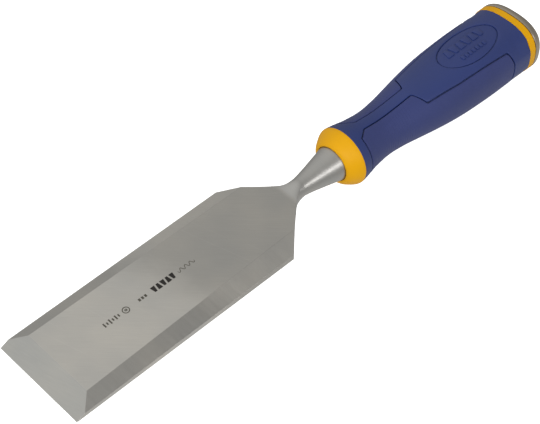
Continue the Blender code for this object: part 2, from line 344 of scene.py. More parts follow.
def oval_ring(x, half_width, half_height, squareness):
    ring = []
    for i in range(AROUND):
        angle = 2.0 * math.pi * i / AROUND
        c, s = math.cos(angle), math.sin(angle)
        y = math.copysign(abs(c) ** (2.0 / squareness), c) * half_width
        z = math.copysign(abs(s) ** (2.0 / squareness), s) * half_height
        ring.append((x, y, z))
    return ring


def grip_ring(x, inset=0.0):
    half_width, half_height, squareness = grip_size(x)
    return oval_ring(x, half_width - inset, half_height - inset, squareness)


def inset_outline(inset):
    """The soft panel's upper edge in plan, moved into the panel."""
    points = [(x * MM, y * MM) for x, y in PANEL_OUTLINE]
    normals = []
    for (x0, y0), (x1, y1) in zip(points, points[1:]):
        length = math.hypot(x1 - x0, y1 - y0)
        normals.append(((y0 - y1) / length, (x1 - x0) / length))
    moved = []
    for i, (x, y) in enumerate(points):
        ax, ay = normals[max(i - 1, 0)]
        bx, by = normals[min(i, len(normals) - 1)]
        scale = inset / (1.0 + ax * bx + ay * by)
        moved.append((x + (ax + bx) * scale, y + (ay + by) * scale))
    return moved


def height_on(outline, x):
    if x <= outline[0][0]:
        return outline[0][1]
    for (x0, y0), (x1, y1) in zip(outline, outline[1:]):
        if x <= x1:
            return y0 + (y1 - y0) * (x - x0) / (x1 - x0)
    return outline[-1][1]


def panel_edge(outline, x, widest):
    """Distance of the panel's edge from the middle, with its corners eased."""
    ease = 0.55 * MM
    samples = [height_on(outline, x + ease * k / 2.0) for k in (-2, -1, 0, 1, 2)]
    return min(sum(samples) / len(samples), widest * grip_size(x)[0])


def corner_stations(low, high):
    """Sections close together where the panel's outline turns."""
    xs = steps(low, high, 1.2 * MM)
    xs += steps(20.6 * MM, 25.4 * MM, 0.4 * MM)
    xs += steps(54.9 * MM, 57.3 * MM, 0.6 * MM)
    xs += steps(75.4 * MM, 81.4 * MM, 0.4 * MM)
    xs += steps(110.4 * MM, 117.2 * MM, 0.45 * MM)
    return [x for x in xs if low <= x <= high]


# Blade sections


def neck_curve(blade, distance, slope):
    """Half width at a distance from the neck, which turns into a straight slope."""
    blend = blade.neck_blend
    return blade.neck_radius + slope * (math.hypot(max(distance, 0.0), blend) - blend)


def shoulder_half_width(blade, x):
    return neck_curve(blade, x - NECK_FRONT_X, 1.0)


def bolster_radius(blade, x):
    return neck_curve(blade, 152.0 * MM - x, 0.228)


def face_z(blade, x):
    """Height of the blade's bevelled face."""
    return blade.face_rise * (blade.face_level_x - x)


def land_z(blade, x):
    """Height at which the side bevels start."""
    return -blade.thickness + blade.side_land + blade.land_rise * (blade.face_level_x - x)


def box_to_round_ring(x, half_width, low, high, radius, roundness):
    """A rectangle at roundness 0, which turns into a circle round the axis at roundness 1."""
    corners = ((-half_width, low), (half_width, low), (half_width, high), (-half_width, high))
    ring = []
    for side in range(4):
        (y0, z0), (y1, z1) = corners[side], corners[(side + 1) % 4]
        for i in range(PER_SIDE):
            t = i / PER_SIDE
            angle = math.radians(225.0 + 90.0 * (side + t))
            y = (y0 + (y1 - y0) * t) * (1.0 - roundness) + radius * math.cos(angle) * roundness
            z = (z0 + (z1 - z0) * t) * (1.0 - roundness) + radius * math.sin(angle) * roundness
            ring.append((x, y, z))
    return ring


def forging_sections(blade):
    """Sections of bar, neck, bolster and tang, from the cutting edge to the tang's tip."""
    edge_x, half_width, back_z = BLADE_HIGH.x, BLADE_HIGH.y, -blade.thickness
    run = half_width - blade.neck_radius + blade.neck_blend
    shoulder_x = NECK_FRONT_X + math.sqrt(run**2 - blade.neck_blend**2)
    flat_end, round_start, bolster_end = 160.0 * MM, 150.5 * MM, 125.5 * MM
    rings = [box_to_round_ring(edge_x, half_width, back_z, face_z(blade, edge_x), 0.0, 0.0)]
    for x in reversed(steps(flat_end + 0.7 * MM, shoulder_x, 0.7 * MM)):
        width = shoulder_half_width(blade, x)
        rings.append(box_to_round_ring(x, width, back_z, face_z(blade, x), 0.0, 0.0))
    for x in reversed(steps(round_start, flat_end, 0.5 * MM)):
        roundness = smooth_step((flat_end - x) / (flat_end - round_start))
        width = shoulder_half_width(blade, x)
        rings.append(box_to_round_ring(x, width, back_z, face_z(blade, x), blade.neck_radius, roundness))
    for x in reversed(steps(bolster_end, round_start - 0.8 * MM, 0.8 * MM)):
        rings.append(box_to_round_ring(x, 0.0, 0.0, 0.0, bolster_radius(blade, x), 1.0))
    for x, half in ((bolster_end, 4.2 * MM), (BLADE_LOW.x, 2.6 * MM)):
        rings.append(box_to_round_ring(x, half, -half, half, 0.0, 0.0))
    return rings


def grind_flat(bm, centre, normal, from_x):
    """Take off everything above a plane, in front of from_x, and close the cut."""
    faces = [face for face in bm.faces if min(v.co.x for v in face.verts) >= from_x]
    edges = {edge for face in faces for edge in face.edges}
    verts = {vert for face in faces for vert in face.verts}
    geom = list(verts) + list(edges) + faces
    cut = bmesh.ops.bisect_plane(
        bm, geom=geom, dist=0.0001 * MM, plane_co=centre, plane_no=normal, clear_outer=True
    )["geom_cut"]
    cut_edges = [item for item in cut if isinstance(item, bmesh.types.BMEdge)]
    open_edges = [edge for edge in cut_edges if edge.is_valid and edge.is_boundary]
    bmesh.ops.holes_fill(bm, edges=open_edges, sides=0)


def forge_blade(blade):
    bm = skin(forging_sections(blade))
    back_z, half_width = -blade.thickness, BLADE_HIGH.y
    tilt = math.atan2(blade.thickness - blade.side_land, blade.side_bevel_width)
    slope = math.atan(blade.land_rise)
    middle_x = 241.5 * MM
    for side in (-1.0, 1.0):
        normal = (math.cos(tilt) * math.sin(slope), side * math.sin(tilt), math.cos(tilt) * math.cos(slope))
        grind_flat(bm, (middle_x, side * half_width, land_z(blade, middle_x)), normal, 165.0 * MM)
    angle = blade.primary_bevel
    normal = Vector((math.sin(angle), 0.0, math.cos(angle)))
    grind_flat(bm, (BLADE_HIGH.x, 0.0, back_z + blade.edge_land), normal, 165.0 * MM)
    bmesh.ops.recalc_face_normals(bm, faces=bm.faces[:])
    flat_from = 160.2 * MM
    verts = [vert for vert in bm.verts if vert.co.x > flat_from]
    edges = [edge for edge in bm.edges if all(vert.co.x > flat_from for vert in edge.verts)]
    bmesh.ops.dissolve_limit(bm, angle_limit=math.radians(0.4), verts=verts, edges=edges)
    worn = []
    for edge in bm.edges:
        if edge.is_manifold and all(vert.co.x > 159.0 * MM for vert in edge.verts):
            if edge.calc_face_angle(0.0) > math.radians(14.0):
                worn.append(edge)
    bmesh.ops.bevel(
        bm,
        geom=worn,
        offset=blade.edge_rounding,
        offset_type="OFFSET",
        segments=2,
        profile=0.5,
        affect="EDGES",
        material=-1,
        clamp_overlap=True,
    )
    return bm


# Finishes


class Finish:
    """A material with a plain way to add nodes to it."""

    def __init__(self, name, colour, roughness, metallic=0.0):
        self.material = bpy.data.materials.new(name)
        self.material.use_nodes = True
        self.tree = self.material.node_tree
        self.shader = self.tree.nodes["Principled BSDF"]
        self.shader.inputs["Base Color"].default_value = (*colour, 1.0)
        self.shader.inputs["Roughness"].default_value = roughness
        self.shader.inputs["Metallic"].default_value = metallic
        self.place = self.add("ShaderNodeTexCoord").outputs["Object"]
        self.height = None

    def add(self, kind, links=(), **settings):
        """Add a node. Links name its inputs, and settings its own values or unlinked inputs."""
        node = self.tree.nodes.new(kind)
        for key, value in settings.items():
            if hasattr(node, key):
                setattr(node, key, value)
            else:
                node.inputs[key.replace("_", " ")].default_value = value
        for socket, source in dict(links).items():
            self.tree.links.new(source, node.inputs[socket])
        return node

    def stretched(self, scale, turn=(0.0, 0.0, 0.0)):
        """The piece's own coordinates, turned and then scaled unevenly."""
        turned = self.add("ShaderNodeMapping", {"Vector": self.place})
        turned.inputs["Rotation"].default_value = turn
        scaled = self.add("ShaderNodeMapping", {"Vector": turned.outputs["Vector"]})
        scaled.inputs["Scale"].default_value = scale
        return scaled.outputs["Vector"]

    def noise(self, scale, detail=2.0, vector=None, roughness=0.5):
        node = self.add("ShaderNodeTexNoise", {"Vector": vector or self.place})
        node.inputs["Scale"].default_value = scale
        node.inputs["Detail"].default_value = detail
        node.inputs["Roughness"].default_value = roughness
        return node.outputs["Fac"]

    def spread(self, source, low, high, from_low=0.3, from_high=0.7):
        """Map a pattern's middle range onto low to high."""
        node = self.add("ShaderNodeMapRange", {"Value": source})
        node.inputs["From Min"].default_value = from_low
        node.inputs["From Max"].default_value = from_high
        node.inputs["To Min"].default_value = low
        node.inputs["To Max"].default_value = high
        return node.outputs["Result"]

    def blend(self, factor, first, second):
        """Mix two colours or colour sockets."""
        node = self.tree.nodes.new("ShaderNodeMix")
        node.data_type = "RGBA"
        self.tree.links.new(factor, node.inputs["Factor"])
        for socket, colour in ((node.inputs[6], first), (node.inputs[7], second)):
            if isinstance(colour, bpy.types.NodeSocket):
                self.tree.links.new(colour, socket)
            else:
                socket.default_value = (*colour, 1.0)
        return node.outputs[2]

    def blend_multiplied(self, first, second):
        """One colour socket darkened by another."""
        node = self.tree.nodes.new("ShaderNodeMix")
        node.data_type = "RGBA"
        node.blend_type = "MULTIPLY"
        node.inputs["Factor"].default_value = 1.0
        self.tree.links.new(first, node.inputs[6])
        self.tree.links.new(second, node.inputs[7])
        return node.outputs[2]

    def colour_from(self, socket):
        self.tree.links.new(socket, self.shader.inputs["Base Color"])

    def roughness_from(self, socket):
        self.tree.links.new(socket, self.shader.inputs["Roughness"])

    def bump(self, source, distance, strength=1.0):
        """Add relief on top of the relief that is there already."""
        node = self.add("ShaderNodeBump", {"Height": source})
        node.inputs["Distance"].default_value = distance
        node.inputs["Strength"].default_value = strength
        if self.height:
            self.tree.links.new(self.height, node.inputs["Normal"])
        self.height = node.outputs["Normal"]
        self.tree.links.new(self.height, self.shader.inputs["Normal"])


def tinted(colour, factor, shift=(0.0, 0.0, 0.0)):
    return tuple(min(max(value * factor + move, 0.0), 1.0) for value, move in zip(colour, shift))


def ground_steel(name, colour, grind_turn, roughness, scratch=0.15, grind=0.006 * MM, painted_shade_tones=(1.0, 1.0)):
    """Steel with fine grinding lines, a few stray scratches and broad changes of tone.

    Painted tones are painted shade, with a little painted light: they darken the blade's front and rear, with a soft
    edge between them that runs slightly aslant.
    """
    steel = Finish(name, colour, roughness, 1.0)
    turn = (0.0, 0.0, grind_turn)
    lines = steel.noise(1.0, 3.0, steel.stretched((5200.0, 90.0, 900.0), turn))
    broad_lines = steel.noise(1.0, 2.0, steel.stretched((900.0, 24.0, 120.0), turn))
    scratches = steel.noise(1.0, 1.0, steel.stretched((1500.0, 16.0, 200.0), (0.0, 0.0, grind_turn + 0.5)))
    clouds = steel.noise(32.0, 2.0)
    cool = tinted(colour, 0.95, (-0.004, 0.0, 0.005))
    warm = tinted(colour, 1.05, (0.006, 0.0, -0.008))
    ground = steel.blend(steel.spread(clouds, 0.0, 1.0, 0.35, 0.65), cool, warm)
    lined = steel.blend(steel.spread(lines, 0.0, 0.24), ground, tinted(colour, 0.7))
    toned = steel.blend(steel.spread(scratches, 0.0, scratch, 0.66, 0.76), lined, tinted(colour, 1.3))
    # Painted shade and light: the front and rear factors scale the steel's colour to stand in for how the light falls
    # along the blade; noise wanders the soft edge between them.
    if painted_shade_tones != (1.0, 1.0):
        aslant = steel.add("ShaderNodeVectorMath", {0: steel.place}, operation="DOT_PRODUCT")
        aslant.inputs[1].default_value = (1.0, 0.32, 0.0)
        wander = steel.spread(steel.noise(60.0, 3.0), -3.0 * MM, 3.0 * MM)
        along = steel.add("ShaderNodeMath", {0: aslant.outputs["Value"], 1: wander}, operation="ADD")
        rear = steel.add("ShaderNodeMapRange", {"Value": along.outputs[0]}, interpolation_type="SMOOTHSTEP")
        rear.inputs["From Min"].default_value = 241.0 * MM
        rear.inputs["From Max"].default_value = 218.0 * MM
        painted_front_shade, painted_rear_shade = painted_shade_tones
        painted_shade_colour = steel.blend(rear.outputs["Result"], (painted_front_shade,) * 3, (painted_rear_shade,) * 3)
        toned = steel.blend_multiplied(toned, painted_shade_colour)
    steel.colour_from(toned)
    steel.roughness_from(steel.spread(broad_lines, roughness - 0.03, roughness + 0.05))
    steel.bump(broad_lines, 2.0 * grind, 0.5)
    steel.bump(lines, grind, 0.6)
    return steel.material


def struck_steel(name, colour):
    """Pressed steel cap, with hammer marks on its face and lighter rubbed patches."""
    steel = Finish(name, colour, 0.36, 1.0)
    fine = steel.noise(1.0, 3.0, steel.stretched((900.0, 4200.0, 4200.0)))
    dents = steel.noise(230.0, 2.0)
    clouds = steel.noise(90.0, 3.0)
    rubbed = steel.blend(steel.spread(clouds, 0.0, 1.0), tinted(colour, 0.86), tinted(colour, 1.08))
    steel.colour_from(steel.blend(steel.spread(fine, 0.0, 0.25), rubbed, tinted(colour, 0.6)))
    steel.roughness_from(steel.spread(clouds, 0.46, 0.3))
    steel.bump(dents, 0.05 * MM, 0.35)
    steel.bump(fine, 0.008 * MM, 0.6)
    return steel.material


def moulded_plastic(name, colour, roughness, texture, sheen=0.0, gloss=0.5):
    """Injection-moulded plastic: fine spark texture, faint flow clouds and a little handling wear."""
    plastic = Finish(name, colour, roughness)
    grain = plastic.noise(2600.0, 2.0)
    orange_peel = plastic.noise(420.0, 2.0)
    clouds = plastic.noise(38.0, 3.0)
    scuffs = plastic.noise(1.0, 2.0, plastic.stretched((160.0, 1300.0, 1300.0), (0.0, 0.3, 0.25)))
    flow = plastic.blend(plastic.spread(clouds, 0.0, 1.0), tinted(colour, 0.94), tinted(colour, 1.06))
    pale = tinted(colour, 1.2, (0.004, 0.004, 0.004))
    plastic.colour_from(plastic.blend(plastic.spread(scuffs, 0.0, 0.5, 0.66, 0.78), flow, pale))
    plastic.roughness_from(plastic.spread(grain, roughness - 0.06, roughness + 0.08))
    plastic.bump(orange_peel, 0.02 * MM, 0.35)
    plastic.bump(grain, texture, 0.7)
    plastic.shader.inputs["Specular IOR Level"].default_value = gloss
    plastic.shader.inputs["Sheen Weight"].default_value = sheen
    plastic.shader.inputs["Sheen Roughness"].default_value = 0.5
    return plastic.material


def etched_metal(name, colour):
    """Burnt or acid-etched marking, uneven in tone."""
    mark = Finish(name, colour, 0.55, 0.3)
    mottle = mark.noise(1900.0, 3.0)
    mark.colour_from(mark.blend(mark.spread(mottle, 0.0, 0.8), tinted(colour, 0.7), tinted(colour, 1.6)))
    mark.bump(mottle, 0.01 * MM, 0.5)
    return mark.material


# Operators


class CHISEL_OT_blade(bpy.types.Operator):
    """Forge the blade with its neck, bolster and tang, grind its bevels and round its edges"""

    bl_idname = "chisel.blade"
    bl_label = "Forged blade"

    def execute(self, context):
        colours = context.scene.chisel_colours
        blade = context.scene.chisel_blade
        bm = forge_blade(blade)
        for face in bm.faces:
            x = face.calc_center_median().x
            if x > blade.face_level_x and 0.3 < face.normal.x < 0.6:
                face.material_index = 1
            elif x < 158.5 * MM:
                face.material_index = 2
            elif abs(face.normal.y) > 0.3 and face.normal.z > 0.6:
                face.material_index = 3
        steel = colours.steel
        cool = tinted(steel, 0.78, (-0.008, 0.0, 0.006))
        aslant, across = math.radians(-45.0), math.radians(-12.0)
        # Painted shade: the flats' colour is darkened towards the rear and lifted slightly at the front, and the side
        # bevels' colour is darkened towards the front, for how the light falls on them.
        flats = ground_steel("ground steel", steel, aslant, 0.33, painted_shade_tones=(1.02, 0.77))
        hone = ground_steel("honed bevel steel", cool, across, 0.32, scratch=0.05)
        smooth = ground_steel("turned bolster steel", colours.neck_steel, 0.0, 0.37, 0.08, 0.003 * MM)
        sides = ground_steel("side bevel steel with painted shade", steel, across, 0.36, 0.05, 0.003 * MM, painted_shade_tones=(0.78, 0.96))
        piece_from("forged_blade", bm, (flats, hone, smooth, sides), "blade", 24.0)
        return {"FINISHED"}


def flat_bar(bm, x, y, length, width, top, depth, taper=0.0):
    """A small block lying on the blade or badge. Taper narrows one long side, as a dovetail."""
    verts = bmesh.ops.create_cube(bm, size=1.0)["verts"]
    for vert in verts:
        across = vert.co.y
        share = 1.0 + taper * (1.0 if across > 0.0 else -1.0)
        vert.co = (
            x + vert.co.x * length * share,
            y + across * width,
            top + (vert.co.z - 0.5) * depth,
        )
    return verts


def thicken(bm, verts, depth):
    """Give the flat faces at these vertices a thickness downwards."""
    faces = list({face for vert in verts for face in vert.link_faces})
    made = bmesh.ops.extrude_face_region(bm, geom=faces, use_keep_orig=True)["geom"]
    lower = [item for item in made if isinstance(item, bmesh.types.BMVert)]
    bmesh.ops.translate(bm, verts=lower, vec=(0.0, 0.0, -depth))


def flat_ring(bm, x, y, radius, width, top, depth):
    """A flat ring lying on the blade."""
    place = Matrix.Translation((x, y, top))
    outer = bmesh.ops.create_circle(bm, segments=40, radius=radius, matrix=place)["verts"]
    edges = list({edge for vert in outer for edge in vert.link_edges})
    made = bmesh.ops.extrude_edge_only(bm, edges=edges)["geom"]
    inner = [item for item in made if isinstance(item, bmesh.types.BMVert)]
    share = (radius - width) / radius
    bmesh.ops.scale(bm, verts=inner, vec=(share, share, 1.0), space=place.inverted())
    thicken(bm, inner, depth)


def flat_wave(bm, x, y, length, swing, top, depth):
    """A wavy line lying on the blade, thicker on its crests."""
    verts = bmesh.ops.create_grid(bm, x_segments=56, y_segments=1, size=1.0)["verts"]
    for vert in verts:
        t = 0.5 + 0.5 * vert.co.x
        middle = y + swing * math.sin(7.0 * math.pi * t)
        half_width = (0.27 + 0.12 * math.cos(14.0 * math.pi * t)) * MM
        vert.co = (x + length * t, middle + vert.co.y * half_width, top)
    thicken(bm, verts, depth)


class CHISEL_OT_marks(bpy.types.Operator):
    """Etch a row of plain workshop marks along the blade: dovetails, a wave, dashes, rings and ticks"""

    bl_idname = "chisel.marks"
    bl_label = "Blade marks"

    def execute(self, context):
        colours = context.scene.chisel_colours
        blade = context.scene.chisel_blade
        y, top, depth = -0.8 * MM, 0.02 * MM, 0.06 * MM
        edge_x = BLADE_HIGH.x
        bold = bmesh.new()
        for i in range(5):
            taper = 0.32 if i % 2 else -0.32
            flat_bar(bold, edge_x - (74.9 - 2.6 * i) * MM, y, 1.75 * MM, 3.2 * MM, top, depth, taper)
        fine = bmesh.new()
        flat_wave(fine, edge_x - 87.4 * MM, y, 9.4 * MM, 0.9 * MM, top, depth)
        for i in range(3):
            flat_bar(fine, edge_x - (59.6 - 1.7 * i) * MM, y, 1.1 * MM, 1.5 * MM, top, depth)
        flat_ring(fine, edge_x - 48.6 * MM, y, 1.8 * MM, 0.45 * MM, top, depth)
        flat_ring(fine, edge_x - 48.6 * MM, y, 0.7 * MM, 0.45 * MM, top, depth)
        for i, width in enumerate((1.5, 2.4, 1.5, 2.8, 1.5, 2.4)):
            flat_bar(fine, edge_x - (44.6 - 1.55 * i) * MM, y, 0.72 * MM, width * MM, top, depth)
        burnt = etched_metal("burnt mark", colours.dark_mark)
        etched = etched_metal("etched mark", colours.pale_mark)
        for name, bm, material in (("blade_mark_bold", bold, burnt), ("blade_marks_fine", fine, etched)):
            for vert in bm.verts:
                vert.co.z += face_z(blade, vert.co.x)
            bmesh.ops.recalc_face_normals(bm, faces=bm.faces[:])
            piece_from(name, bm, (material,), None)
        return {"FINISHED"}


class CHISEL_OT_core(bpy.types.Operator):
    """Mould the hard yellow core: the collar round the bolster and the ring behind the grip"""

    bl_idname = "chisel.core"
    bl_label = "Handle core"

    def execute(self, context):
        handle = context.scene.chisel_handle
        blade = context.scene.chisel_blade
        rings = []
        for x in (126.5 * MM, 127.8 * MM, 129.1 * MM):
            radius = bolster_radius(blade, x) + 0.14 * MM
            rings.append(oval_ring(x, radius, radius, 2.0))
        rings += [oval_ring(x * MM, r * MM, r * MM, 2.0) for x, r in reversed(COLLAR_PROFILE)]
        ring_rear = CORE_LOW.x
        ring_front = ring_rear + handle.ring_width
        for x in reversed(steps(ring_front + 0.3 * MM, 122.15 * MM, 7.0 * MM)):
            rings.append(grip_ring(x, 3.0 * MM))
        rings.append(grip_ring(ring_front + 0.02 * MM, 2.4 * MM))
        rings.append(grip_ring(ring_front, 0.15 * MM))
        for x in steps(ring_rear + 0.12 * MM, ring_front - 0.12 * MM, 1.2 * MM)[::-1]:
            rings.append(grip_ring(x))
        rings.append(grip_ring(ring_rear, 0.15 * MM))
        rings.append(grip_ring(ring_rear - 0.02 * MM, 3.0 * MM))
        yellow = moulded_plastic("yellow core plastic", context.scene.chisel_colours.core, 0.46, 0.006 * MM, gloss=0.16)
        piece_from("core_collar_and_ring", skin(rings), (yellow,), "handle_core")
        return {"FINISHED"}


def badge_distance(handle, x, y):
    """Distance inwards from the badge's oval rim, seen from above."""
    along = (x - handle.badge_x) / handle.badge_half_length
    across = y / handle.badge_half_width
    reach = math.hypot(along, across)
    if reach < 1e-6:
        return handle.badge_half_width
    slope = math.hypot(along / handle.badge_half_length, across / handle.badge_half_width) / reach
    return (1.0 - reach) / slope


# Badge rim: distance inwards (mm) and share of the way down to the groove's bottom
BADGE_RIM = ((-0.25, 0.0), (0.0, 0.12), (0.06, 0.5), (0.14, 1.0), (0.42, 1.0), (0.5, 0.75), (0.62, 0.45))


def badge_depth(handle, x, y):
    """How far the grip is sunk at a plan point on its upper side."""
    distance = badge_distance(handle, x, y)
    groove = handle.badge_sink + 0.4 * MM
    floor_share = handle.badge_sink / groove
    if distance <= BADGE_RIM[0][0] * MM:
        return 0.0
    profile = BADGE_RIM[:-1] + ((BADGE_RIM[-1][0], floor_share),)
    for (d0, s0), (d1, s1) in zip(profile, profile[1:]):
        if distance <= d1 * MM:
            return groove * (s0 + (s1 - s0) * (distance / MM - d0) / (d1 - d0))
    return handle.badge_sink


def oval_edge(handle, x, distance):
    """Half width of the badge's oval at x, its rim moved inwards."""
    half_length = handle.badge_half_length - distance
    along = abs(x - handle.badge_x) / half_length
    if along >= 1.0:
        return 0.0
    return (handle.badge_half_width - distance) * math.sqrt(1.0 - along**2)


# Rim of a panel pocket: distance outwards (mm) and depth (mm)
POCKET_RIM = ((0.32, 0.0), (0.1, 0.05), (0.0, 0.24))


def sleeve_section(handle, outline, x, pocket_depth, rim_depth, extra=0.0):
    """One ring of the grip, from the middle of the top round the near side and back."""
    edge = panel_edge(outline, x, 0.985)
    has_pocket = pocket_depth > 0.0
    half = []
    inner_edge = oval_edge(handle, x, BADGE_RIM[-1][0] * MM)
    for i in range(9):
        half.append((max(inner_edge, 0.05 * MM) * i / 8.0, True))
    for i, (distance, _) in enumerate(reversed(BADGE_RIM[:-1])):
        half.append((max(oval_edge(handle, x, distance * MM), (0.08 + 0.03 * i) * MM), True))
    badge_edge = half[-1][0]
    last = edge - POCKET_RIM[0][0] * MM
    for i in range(1, 6):
        half.append((badge_edge + (last - badge_edge) * i / 5.0, True))
    points = [on_grip(x, y, True, badge_depth(handle, x, y) + extra) for y, _ in half]
    for distance, depth in POCKET_RIM[1:]:
        depth = depth * MM if has_pocket else 0.0
        points.append(on_grip(x, edge - distance * MM, True, depth + extra))
    top = edge_angle(x, edge + 0.03 * MM)
    arc_depth = pocket_depth if has_pocket else rim_depth
    for i in range(31):
        points.append(round_grip(x, top - 2.0 * top * i / 30.0, arc_depth + extra))
    for distance, depth in reversed(POCKET_RIM[1:]):
        depth = depth * MM if has_pocket else 0.0
        points.append(on_grip(x, edge - distance * MM, False, depth + extra))
    for i in range(9):
        points.append(on_grip(x, last * (1.0 - i / 8.0), False, extra))
    mirrored = [(px, -py, pz) for px, py, pz in points[-2:0:-1]]
    return points + mirrored


class CHISEL_OT_sleeve(bpy.types.Operator):
    """Mould the blue grip with its two side pockets and the sunk oval badge on top"""

    bl_idname = "chisel.sleeve"
    bl_label = "Grip sleeve"

    def execute(self, context):
        handle = context.scene.chisel_handle
        outline = inset_outline(0.0)
        rear, front = SLEEVE_LOW.x - 0.15 * MM, 122.1 * MM
        pocket_rear, pocket_front = 21.4 * MM, PANEL_OUTLINE[-1][0] * MM
        xs = corner_stations(rear + 0.15 * MM, front - 0.15 * MM)
        for i in range(41):
            xs.append(handle.badge_x + handle.badge_half_length * math.cos(math.pi * i / 40.0))
        for distance, _ in BADGE_RIM:
            reach = handle.badge_half_length - distance * MM
            xs += [handle.badge_x - reach, handle.badge_x + reach]
        ends = [pocket_rear, pocket_front]
        xs = [x for x in merged(xs) if all(abs(x - end) > 0.42 * MM for end in ends)]
        rim_rows = []
        for end, outwards in ((pocket_rear, -1.0), (pocket_front, 1.0)):
            rim_rows.append((end, handle.recess_depth, 0.0))
            rim_rows.append((end + outwards * 0.03 * MM, 0.0, 0.24 * MM))
            rim_rows.append((end + outwards * 0.12 * MM, 0.0, 0.05 * MM))
            rim_rows.append((end + outwards * 0.35 * MM, 0.0, 0.0))
        rows = rim_rows + [
            (x, handle.recess_depth if pocket_rear < x < pocket_front else 0.0, 0.0) for x in xs
        ]
        rows.sort()
        sections = [sleeve_section(handle, outline, rear, 0.0, 0.0, 0.15 * MM)]
        sections += [sleeve_section(handle, outline, *row) for row in rows]
        sections.append(sleeve_section(handle, outline, front, 0.0, 0.0, 0.15 * MM))
        for x in (front, 100.0 * MM, 80.0 * MM, 60.0 * MM, 30.0 * MM, rear):
            sections.append(sleeve_section(handle, outline, x, 0.0, 0.0, 2.6 * MM))
        blue = moulded_plastic("blue grip plastic", context.scene.chisel_colours.sleeve, 0.46, 0.012 * MM)
        piece_from("grip_sleeve_moulding", skin(sections, hollow=True), (blue,), "grip_sleeve", 38.0)
        return {"FINISHED"}


def rib_depth(x):
    """Fine ribs across the soft panel at the handle's waist."""
    fade = smooth_step((x - 83.0 * MM) / (6.0 * MM)) * smooth_step((108.0 * MM - x) / (6.0 * MM))
    return 0.07 * MM * fade * (0.5 - 0.5 * math.cos(2.0 * math.pi * x / (1.5 * MM)))


# Rounded edge of a soft panel: distance inwards (mm) and depth (mm)
PANEL_RIM = ((0.0, 0.5), (0.05, 0.28), (0.16, 0.1), (0.42, 0.0))


def panel_section(handle, outline, x, row_depth, side):
    """One closed ring of a soft panel: its outside from top to bottom, then its inside back."""
    edge = panel_edge(outline, x, 0.97)
    ribs = rib_depth(x)
    points = []
    for distance, depth in PANEL_RIM:
        points.append(on_grip(x, edge + distance * MM, True, max(depth * MM, row_depth, ribs)))
    top = edge_angle(x, edge + PANEL_RIM[-1][0] * MM)
    for i in range(1, 32):
        points.append(round_grip(x, top - 2.0 * top * i / 32.0, max(row_depth, ribs)))
    for distance, depth in reversed(PANEL_RIM):
        points.append(on_grip(x, edge + distance * MM, False, max(depth * MM, row_depth, ribs)))
    back = handle.recess_depth - 0.1 * MM
    top = edge_angle(x, edge)
    for i in range(13):
        points.append(round_grip(x, -top + 2.0 * top * i / 12.0, back))
    return [(px, side * py, pz) for px, py, pz in points]


class CHISEL_OT_panels(bpy.types.Operator):
    """Mould the two soft side panels that sit in the grip's pockets"""

    bl_idname = "chisel.panels"
    bl_label = "Soft panels"

    def execute(self, context):
        handle = context.scene.chisel_handle
        outline = inset_outline(handle.panel_gap)
        rear = 21.4 * MM + handle.panel_gap
        front = PANEL_OUTLINE[-1][0] * MM - handle.panel_gap
        xs = corner_stations(rear + 0.5 * MM, front - 0.5 * MM)
        xs += steps(83.0 * MM, 108.0 * MM, 0.3 * MM)
        rows = [(x, 0.0) for x in merged(xs, 0.1 * MM)]
        for distance, depth in PANEL_RIM:
            rows.append((rear + distance * MM, depth * MM))
            rows.append((front - distance * MM, depth * MM))
        rows.sort()
        soft = moulded_plastic(
            "soft blue panel", context.scene.chisel_colours.panel, 0.68, 0.022 * MM, sheen=0.06
        )
        for name, side in (("left", 1.0), ("right", -1.0)):
            sections = [panel_section(handle, outline, x, depth, side) for x, depth in rows]
            node = f"grip_panel_{name}"
            piece_from(f"soft_panel_{name}", skin(sections), (soft,), node, 40.0)
        return {"FINISHED"}


class CHISEL_OT_badge(bpy.types.Operator):
    """Raise a plain row of dovetails and a line of blocks on the oval badge"""

    bl_idname = "chisel.badge"
    bl_label = "Badge relief"

    def execute(self, context):
        handle = context.scene.chisel_handle
        bm = bmesh.new()
        for i in range(6):
            x = handle.badge_x + (i - 2.5) * 4.35 * MM
            taper = 0.3 if i % 2 else -0.3
            flat_bar(bm, x, -2.6 * MM, 3.2 * MM, 5.0 * MM, 0.0, 1.0 * MM, taper)
        for i in range(7):
            x = handle.badge_x + (i - 3.0) * 2.5 * MM
            flat_bar(bm, x, 4.2 * MM, 1.8 * MM, 2.3 * MM, 0.0, 1.0 * MM)
        upright = [e for e in bm.edges if abs(e.verts[0].co.z - e.verts[1].co.z) > 0.5 * MM]
        bmesh.ops.bevel(
            bm,
            geom=upright,
            offset=0.3 * MM,
            offset_type="OFFSET",
            segments=3,
            profile=0.5,
            affect="EDGES",
            material=-1,
        )
        top_edges = [e for e in bm.edges if all(vert.co.z > -0.01 * MM for vert in e.verts)]
        bmesh.ops.bevel(
            bm,
            geom=top_edges,
            offset=0.12 * MM,
            offset_type="OFFSET",
            segments=2,
            profile=0.5,
            affect="EDGES",
            material=-1,
        )
        proud = 0.46 * MM
        for vert in bm.verts:
            depth = handle.badge_sink - proud - vert.co.z
            vert.co = on_grip(vert.co.x, vert.co.y, True, depth)
        bmesh.ops.recalc_face_normals(bm, faces=bm.faces[:])
        blue = moulded_plastic("blue relief plastic", context.scene.chisel_colours.sleeve, 0.42, 0.01 * MM)
        piece_from("badge_relief", bm, (blue,), None)
        return {"FINISHED"}


